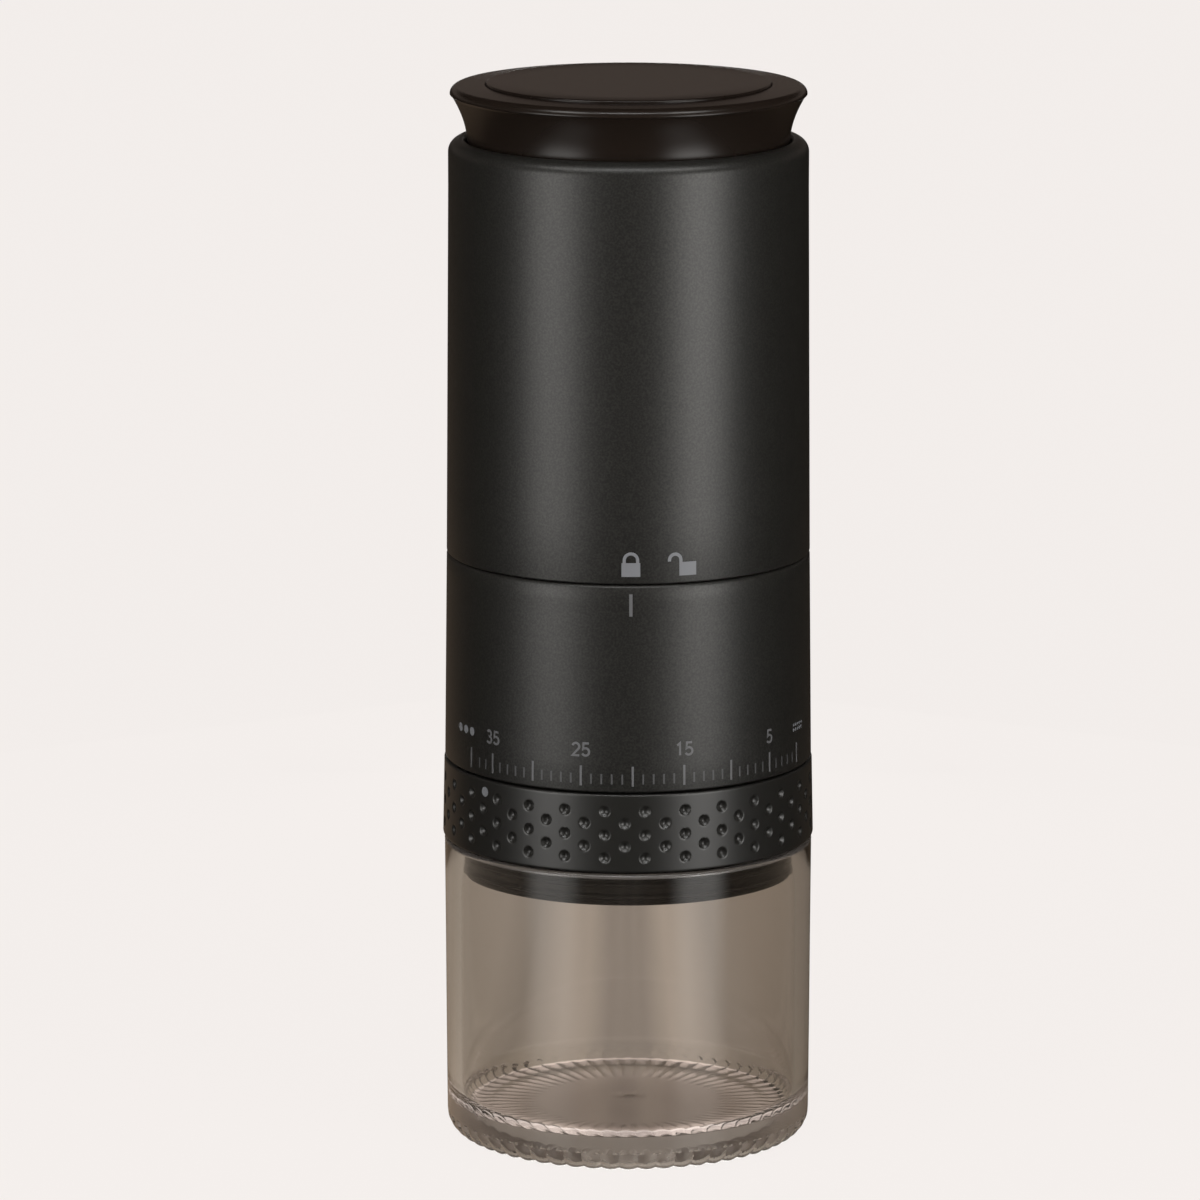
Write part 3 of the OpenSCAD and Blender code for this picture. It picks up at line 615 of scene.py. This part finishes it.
def dot(r, cx=0.0, cz=0.0, sides=20):
    return arc(cx, cz, r, 0, 360 * (sides - 1) / sides, sides - 1)


def stroke(points, width):
    """The quads of a pen line through the points, with a mitre at each bend."""
    half = width / 2
    sides = []
    for i, (x, z) in enumerate(points):
        ahead = points[min(i + 1, len(points) - 1)]
        behind = points[max(i - 1, 0)]
        to = Vector((ahead[0] - x, ahead[1] - z)) if i + 1 < len(points) else None
        back = Vector((x - behind[0], z - behind[1])) if i else None
        a = (back or to).normalized()
        b = (to or back).normalized()
        normal = Vector((-(a + b).y, (a + b).x)).normalized()
        reach = half / max(0.5, normal.dot(Vector((-a.y, a.x))))
        out_x, out_z = normal.x * reach, normal.y * reach
        sides.append(((x + out_x, z + out_z), (x - out_x, z - out_z)))
    return [[q[1], p[1], p[0], q[0]][::-1] for p, q in zip(sides, sides[1:])]


DIGIT_W = 0.56


def digit_path(digit):
    """A digit's pen path in a box one unit high and DIGIT_W wide."""
    w = DIGIT_W
    if digit == "1":
        return [(0.12, 0.8), (0.34, 1.0), (0.34, 0.0)]
    if digit == "2":
        return arc(w / 2, 0.72, w / 2, 165, -35, 10) + [(0.0, 0.0), (w, 0.0)]
    if digit == "3":
        return arc(w / 2 - 0.02, 0.76, 0.24, 150, -75, 10) + arc(w / 2 - 0.02, 0.27, 0.27, 78, -150, 12)
    return [(w - 0.04, 1.0), (0.09, 1.0), (0.05, 0.53)] + arc(w / 2 - 0.03, 0.31, 0.3, 120, -150, 14)


def number_loops(text, height, pen):
    """The strokes of a number, centred on its place."""
    gap = 0.26 * height
    width = len(text) * DIGIT_W * height + (len(text) - 1) * gap
    loops = []
    for i, digit in enumerate(text):
        left = -width / 2 + i * (DIGIT_W * height + gap)
        path = [(left + x * height, z * height) for x, z in digit_path(digit)]
        loops += stroke(path, pen)
    return loops


SCALE_ZERO = 65.5
SCALE_STEP = 3.215
SCALE_LAST = 38
SCALE_END = -58.0
SETTING = 36
TICK_Z = 75.1
NUMBER_Z = 80.8
NUMBER_HEIGHT = 2.35
NUMBER_PEN = 0.42
DOTS_Z = 82.0
COARSE_ANGLE = -61.5
FINE_ANGLE = 66.5
LOCK_ANGLE = 0.6
UNLOCK_ANGLE = 18.0
LOCK_Z = 114.95
LINE_Z = 109.55


def build_scale():
    for n in range(SCALE_LAST + 1):
        major = n % 5 == 0 or n == SCALE_LAST
        height = 3.8 if major else 1.9
        width = 0.42 if major else 0.34
        tick = rectangle(width, height, 0, height / 2)
        z = TICK_Z if major else TICK_Z + 0.4
        ink = PRINT_DIM if major else PRINT_FAINT
        angle = SCALE_END if n == SCALE_LAST else SCALE_ZERO - SCALE_STEP * n
        mark(f"tick_{n:02d}", tick, angle, z, "grinder_body", ink)
    for n in (5, 15, 25, 35):
        loops = number_loops(str(n), NUMBER_HEIGHT, NUMBER_PEN)
        angle = SCALE_ZERO - SCALE_STEP * n
        mark(f"number_{n}", loops, angle, NUMBER_Z, "grinder_body", PRINT_DIM)
    coarse = [dot(0.8, i * 2.3, 0) for i in (-1, 0, 1)]
    mark("coarse_dots", coarse, COARSE_ANGLE, DOTS_Z, "grinder_body", PRINT)
    fine = [dot(0.3, i * 0.95, row * 0.95) for i in (-2, -1, 0, 1, 2) for row in (-0.5, 0.5)]
    mark("fine_dots", fine, FINE_ANGLE, DOTS_Z, "grinder_body", PRINT)


def build_locks():
    shackle = [(-1.25, 2.4)] + arc(0, 3.1, 1.25, 180, 0, 12) + [(1.25, 2.4)]
    closed = rectangle(3.5, 2.6, 0, 1.3) + stroke(shackle, 0.58)
    mark("lock_closed", closed, LOCK_ANGLE, LOCK_Z, "power_unit", PRINT)
    swung = [(1.1, 2.4)] + arc(0, 3.0, 1.1, 0, 180, 12) + [(-1.1, 2.75)]
    swung = [(x - 2.15, z) for x, z in swung]
    opened = rectangle(3.3, 2.55, 0.3, 1.27) + stroke(swung, 0.6)
    mark("lock_open", opened, UNLOCK_ANGLE, LOCK_Z, "power_unit", PRINT)
    mark("lock_line", rectangle(0.62, 4.2), LOCK_ANGLE, LINE_Z, "grinder_body", PRINT_DIM)


def build_ring_dot():
    """The ring's marker, which points at the setting in use."""
    z = ring_z0 + 12.6
    angle = math.radians(SCALE_ZERO - SETTING * SCALE_STEP)
    r = ring_skin(z)
    dot_r = 0.95
    sides = 24
    verts, faces = [], []
    for lift in (-INK, INK):
        for s in range(sides):
            a = 2 * math.pi * s / sides
            turn = angle + dot_r * math.cos(a) / r
            x, y = (r + lift) * math.sin(turn), -(r + lift) * math.cos(turn)
            verts.append((x * MM, y * MM, (z + dot_r * math.sin(a)) * MM))
    faces.append(list(range(sides, 2 * sides)))
    faces.append(list(range(sides - 1, -1, -1)))
    for i in range(sides):
        j = (i + 1) % sides
        faces.append([i, j, sides + j, sides + i])
    obj = new_object("ring_index", verts, faces, PRINT)
    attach(obj, "adjuster")


build_scale()
build_locks()
build_ring_dot()

# ---------------------------------------------------------------------------
# Studio
# ---------------------------------------------------------------------------

# Panels, spans and the camera are in metres. The lathed bowl, disc and band are in millimetres.

BACKDROP = (0.905, 0.863, 0.84)
SOFT_WHITE = (1, 0.985, 0.96)
BROWN = (1, 0.72, 0.5)
CAP_GLOW = (1, 0.8, 0.68)
NIGHT = (0.1, 0.068, 0.053)
NIGHT_STRENGTH = 0.15
LOW_SPAN, LOW_FADE = (-0.45, 0.23), (-0.12, 0.18)
HIGH_SPAN = (0.5, 0.74)
BROWN_SPAN, BACK_SPAN, BACK_FADE = (-0.3, 0.2), (-0.4, 0.2), (-0.2, 0.2)
BOWL_R, BOWL_TOP = 600, 500


def emitter(name, color, strength):
    material = bpy.data.materials.new(name)
    material.use_nodes = True
    tree = material.node_tree
    tree.nodes.clear()
    glow = tree.nodes.new("ShaderNodeEmission")
    glow.inputs["Color"].default_value = (*color, 1)
    glow.inputs["Strength"].default_value = strength
    out = tree.nodes.new("ShaderNodeOutputMaterial")
    tree.links.new(glow.outputs["Emission"], out.inputs["Surface"])
    return material


def floor_material():
    """A pale floor that glows, so that it stays even over its whole depth."""
    material = principled("floor", (0.02, 0.019, 0.018), 0.9, Specular_IOR_Level=0.0)
    shader = material.node_tree.nodes["Principled BSDF"]
    shader.inputs["Emission Color"].default_value = (*BACKDROP, 1)
    shader.inputs["Emission Strength"].default_value = 0.985
    return material


def ramp_node(tree, stops):
    """A colour ramp with (position, colour) stops."""
    ramp = tree.nodes.new("ShaderNodeValToRGB")
    elements = ramp.color_ramp.elements
    while len(elements) < len(stops):
        elements.new(0.5)
    for element, (position, color) in zip(elements, stops):
        element.position = position
        element.color = (*color, 1)
    return ramp


def banded(tree, vector, reach, stops):
    """A colour that follows a vector's X from -reach to reach."""
    parts = tree.nodes.new("ShaderNodeSeparateXYZ")
    fit = tree.nodes.new("ShaderNodeMapRange")
    fit.inputs["From Min"].default_value = -reach
    fit.inputs["From Max"].default_value = reach
    ramp = ramp_node(tree, stops)
    tree.links.new(vector, parts.inputs["Vector"])
    tree.links.new(parts.outputs["X"], fit.inputs["Value"])
    tree.links.new(fit.outputs["Result"], ramp.inputs["Fac"])
    return ramp.outputs["Color"]


# Painted light and shade seen through the cup: a taupe backdrop, lighter and darker in bands from side
# to side.
SURROUND_PAINTED_SHADING_STOPS = (
    (0.0, (0.6, 0.52, 0.44)),
    (0.2, (0.42, 0.37, 0.31)),
    (0.42, (0.5, 0.45, 0.4)),
    (0.58, (0.5, 0.45, 0.4)),
    (0.8, (0.4, 0.35, 0.3)),
    (1.0, (0.42, 0.37, 0.31)),
)
# Painted highlights: upright bright streaks where the panels' reflections would fall, seen through the
# cup and under it.
PAINTED_HIGHLIGHT_REACH = 0.04
PAINTED_HIGHLIGHT_STOPS = (
    (0.0, (0.75, 0.75, 0.75)),
    (0.16, (0.6, 0.6, 0.6)),
    (0.31, (1.0, 1.0, 1.0)),
    (0.38, (0.98, 0.98, 0.98)),
    (0.45, (0.68, 0.68, 0.69)),
    (0.55, (0.68, 0.68, 0.69)),
    (0.63, (1.04, 1.04, 1.04)),
    (0.69, (1.0, 1.0, 1.0)),
    (0.8, (0.66, 0.66, 0.66)),
    (1.0, (0.6, 0.58, 0.56)),
)


UNDER_R = 34
# Painted shade under the middle of the cup and painted light under its foot.
UNDER_PAINTED_SHADING_STOPS = (
    (0.0, (0.34, 0.29, 0.26)),
    (0.6, (0.4, 0.345, 0.315)),
    (0.78, (1.05, 0.93, 0.88)),
    (1.0, (1.15, 1.02, 0.97)),
)


def surround_material():
    """What the clear cup is seen against: a taupe backdrop with painted light and shade from side to
    side, times the painted highlight streaks.
    """
    material = emitter("surround", (1, 1, 1), 1.0)
    tree = material.node_tree
    place = tree.nodes.new("ShaderNodeTexCoord")
    unit = tree.nodes.new("ShaderNodeVectorMath")
    unit.operation = "NORMALIZE"
    tree.links.new(place.outputs["Object"], unit.inputs[0])
    painted_shading = banded(tree, unit.outputs["Vector"], 1.0, SURROUND_PAINTED_SHADING_STOPS)
    painted_highlights = banded(tree, place.outputs["Object"], PAINTED_HIGHLIGHT_REACH, PAINTED_HIGHLIGHT_STOPS)
    both = tree.nodes.new("ShaderNodeVectorMath")
    both.operation = "MULTIPLY"
    tree.links.new(painted_shading, both.inputs[0])
    tree.links.new(painted_highlights, both.inputs[1])
    tree.links.new(both.outputs["Vector"], tree.nodes["Emission"].inputs["Color"])
    return material


def under_material():
    """The table seen through the cup's floor, with painted shade in the middle, painted light under the
    foot, and painted highlight streaks.
    """
    material = emitter("under_glow", (1, 1, 1), 1.0)
    tree = material.node_tree
    place = tree.nodes.new("ShaderNodeTexCoord")
    away = tree.nodes.new("ShaderNodeVectorMath")
    away.operation = "LENGTH"
    fit = tree.nodes.new("ShaderNodeMapRange")
    fit.inputs["From Max"].default_value = UNDER_R * MM
    painted_shading = ramp_node(tree, UNDER_PAINTED_SHADING_STOPS)
    tree.links.new(place.outputs["Object"], away.inputs[0])
    tree.links.new(away.outputs["Value"], fit.inputs["Value"])
    tree.links.new(fit.outputs["Result"], painted_shading.inputs["Fac"])
    painted_highlights = banded(tree, place.outputs["Object"], PAINTED_HIGHLIGHT_REACH, PAINTED_HIGHLIGHT_STOPS)
    both = tree.nodes.new("ShaderNodeVectorMath")
    both.operation = "MULTIPLY"
    tree.links.new(painted_shading.outputs["Color"], both.inputs[0])
    tree.links.new(painted_highlights, both.inputs[1])
    tree.links.new(both.outputs["Vector"], tree.nodes["Emission"].inputs["Color"])
    return material


def panel_material(name, width, color, top, bottom, fade):
    """A panel that fades towards its sides, and from its top strength down to its bottom one."""
    material = emitter(name, color, 1.0)
    tree = material.node_tree
    place = tree.nodes.new("ShaderNodeTexCoord")
    parts = tree.nodes.new("ShaderNodeSeparateXYZ")
    away = tree.nodes.new("ShaderNodeMath")
    away.operation = "ABSOLUTE"
    side = tree.nodes.new("ShaderNodeMapRange")
    side.interpolation_type = "SMOOTHSTEP"
    side.inputs["From Min"].default_value = width * 0.12
    side.inputs["From Max"].default_value = width * 0.5
    side.inputs["To Min"].default_value = 1.0
    side.inputs["To Max"].default_value = 0.0
    rise = tree.nodes.new("ShaderNodeMapRange")
    rise.interpolation_type = "SMOOTHSTEP"
    rise.inputs["From Min"].default_value = fade[0]
    rise.inputs["From Max"].default_value = fade[1]
    rise.inputs["To Min"].default_value = bottom
    rise.inputs["To Max"].default_value = top
    both = tree.nodes.new("ShaderNodeMath")
    both.operation = "MULTIPLY"
    tree.links.new(place.outputs["Object"], parts.inputs["Vector"])
    tree.links.new(parts.outputs["X"], away.inputs[0])
    tree.links.new(away.outputs["Value"], side.inputs["Value"])
    tree.links.new(parts.outputs["Y"], rise.inputs["Value"])
    tree.links.new(side.outputs["Result"], both.inputs[0])
    tree.links.new(rise.outputs["Result"], both.inputs[1])
    tree.links.new(both.outputs["Value"], tree.nodes["Emission"].inputs["Strength"])
    return material


def hide_from(obj, *kinds):
    for kind in kinds:
        setattr(obj, "visible_" + kind, False)


def plane(name, size, location, material, rotation=(0, 0, 0)):
    x, y = size[0] / 2, size[1] / 2
    mesh = bpy.data.meshes.new(name)
    mesh.from_pydata([(-x, -y, 0), (x, -y, 0), (x, y, 0), (-x, y, 0)], [], [(0, 1, 2, 3)])
    mesh.materials.append(material)
    obj = bpy.data.objects.new(name, mesh)
    obj.location = location
    obj.rotation_euler = rotation
    bpy.context.scene.collection.objects.link(obj)
    return obj


def panel(name, azimuth, distance, width, span, color, top, bottom, fade):
    """An upright soft panel that faces the grinder from an azimuth, measured from the front.

    It spans two heights, and its strength changes from bottom to top between the fade heights.
    """
    a = math.radians(azimuth)
    middle = (span[0] + span[1]) / 2
    place = (distance * math.sin(a), -distance * math.cos(a), middle)
    fade_here = (fade[0] - middle, fade[1] - middle)
    material = panel_material(name, width, color, top, bottom, fade_here)
    obj = plane(name, (width, span[1] - span[0]), place, material, (math.pi / 2, 0, a))
    hide_from(obj, "camera", "transmission")
    return obj


def build_surround():
    """A closed bowl that is seen only through the clear cup, and a disc for the table right under the
    cup; both glow with painted light and shade.
    """
    outline = [(0, -0.5), (BOWL_R, -0.5), (BOWL_R, BOWL_TOP), (0, BOWL_TOP)]
    obj = lathe("surround", outline, surround_material(), 48)
    hide_from(obj, "camera", "diffuse", "glossy", "shadow")
    disc = [(0, -0.4), (UNDER_R, -0.4), (UNDER_R, -0.3), (0, -0.3)]
    under = lathe("under_cup", disc, under_material(), 48)
    hide_from(under, "camera", "diffuse", "glossy", "shadow")


def build_studio():
    floor = plane("floor", (14, 14), (0, 0, 0), floor_material())
    hide_from(floor, "glossy", "diffuse", "transmission", "shadow")
    world = bpy.data.worlds.new("studio")
    bpy.context.scene.world = world
    world.use_nodes = True
    background = world.node_tree.nodes["Background"]
    background.inputs["Color"].default_value = (*NIGHT, 1)
    background.inputs["Strength"].default_value = NIGHT_STRENGTH
    panel("left_panel", -47, 0.4, 0.32, LOW_SPAN, SOFT_WHITE, 5.8, 0.5, LOW_FADE)
    panel("right_panel", 44, 0.4, 0.32, LOW_SPAN, SOFT_WHITE, 7.4, 0.65, LOW_FADE)
    panel("left_brown", -150, 0.35, 0.5, BROWN_SPAN, BROWN, 0.03, 0.35, BACK_FADE)
    panel("right_brown", 150, 0.35, 0.5, BROWN_SPAN, BROWN, 0.0, 0.1, BACK_FADE)
    panel("left_high", -47, 0.4, 0.34, HIGH_SPAN, SOFT_WHITE, 8.5, 8.5, HIGH_SPAN)
    panel("right_high", 44, 0.4, 0.34, HIGH_SPAN, SOFT_WHITE, 9.2, 9.2, HIGH_SPAN)
    panel("back_soft", 180, 0.3, 0.16, BACK_SPAN, SOFT_WHITE, 3.6, 2.4, BACK_FADE)
    glow = emitter("top_glow", (1, 1, 1), 22.0)
    top = plane("top_panel", (0.9, 0.2), (0, -0.5, 0.85), glow, (math.radians(-35), 0, 0))
    hide_from(top, "camera", "transmission")
    band = [(600, 245), (601, 245), (601, 365), (600, 365)]
    ring = lathe("cap_glow", band, emitter("cap_glow", CAP_GLOW, 0.17), 48)
    hide_from(ring, "camera", "diffuse", "transmission", "shadow")
    build_surround()


LENS = 220.6
PITCH = 11.76
CAMERA_DISTANCE = 1.4
AIM = (-0.00537, 0, 0.1034)


def build_camera():
    data = bpy.data.cameras.new("camera")
    data.sensor_width = 36
    data.lens = LENS
    data.clip_start, data.clip_end = 0.05, 40
    camera = bpy.data.objects.new("camera", data)
    pitch = math.radians(PITCH)
    back = Vector((0, -math.cos(pitch), math.sin(pitch)))
    camera.location = Vector(AIM) + CAMERA_DISTANCE * back
    camera.rotation_euler = (math.pi / 2 - pitch, 0, 0)
    bpy.context.scene.collection.objects.link(camera)
    bpy.context.scene.camera = camera


build_studio()
build_camera()
bpy.context.scene.view_settings.view_transform = "Standard"
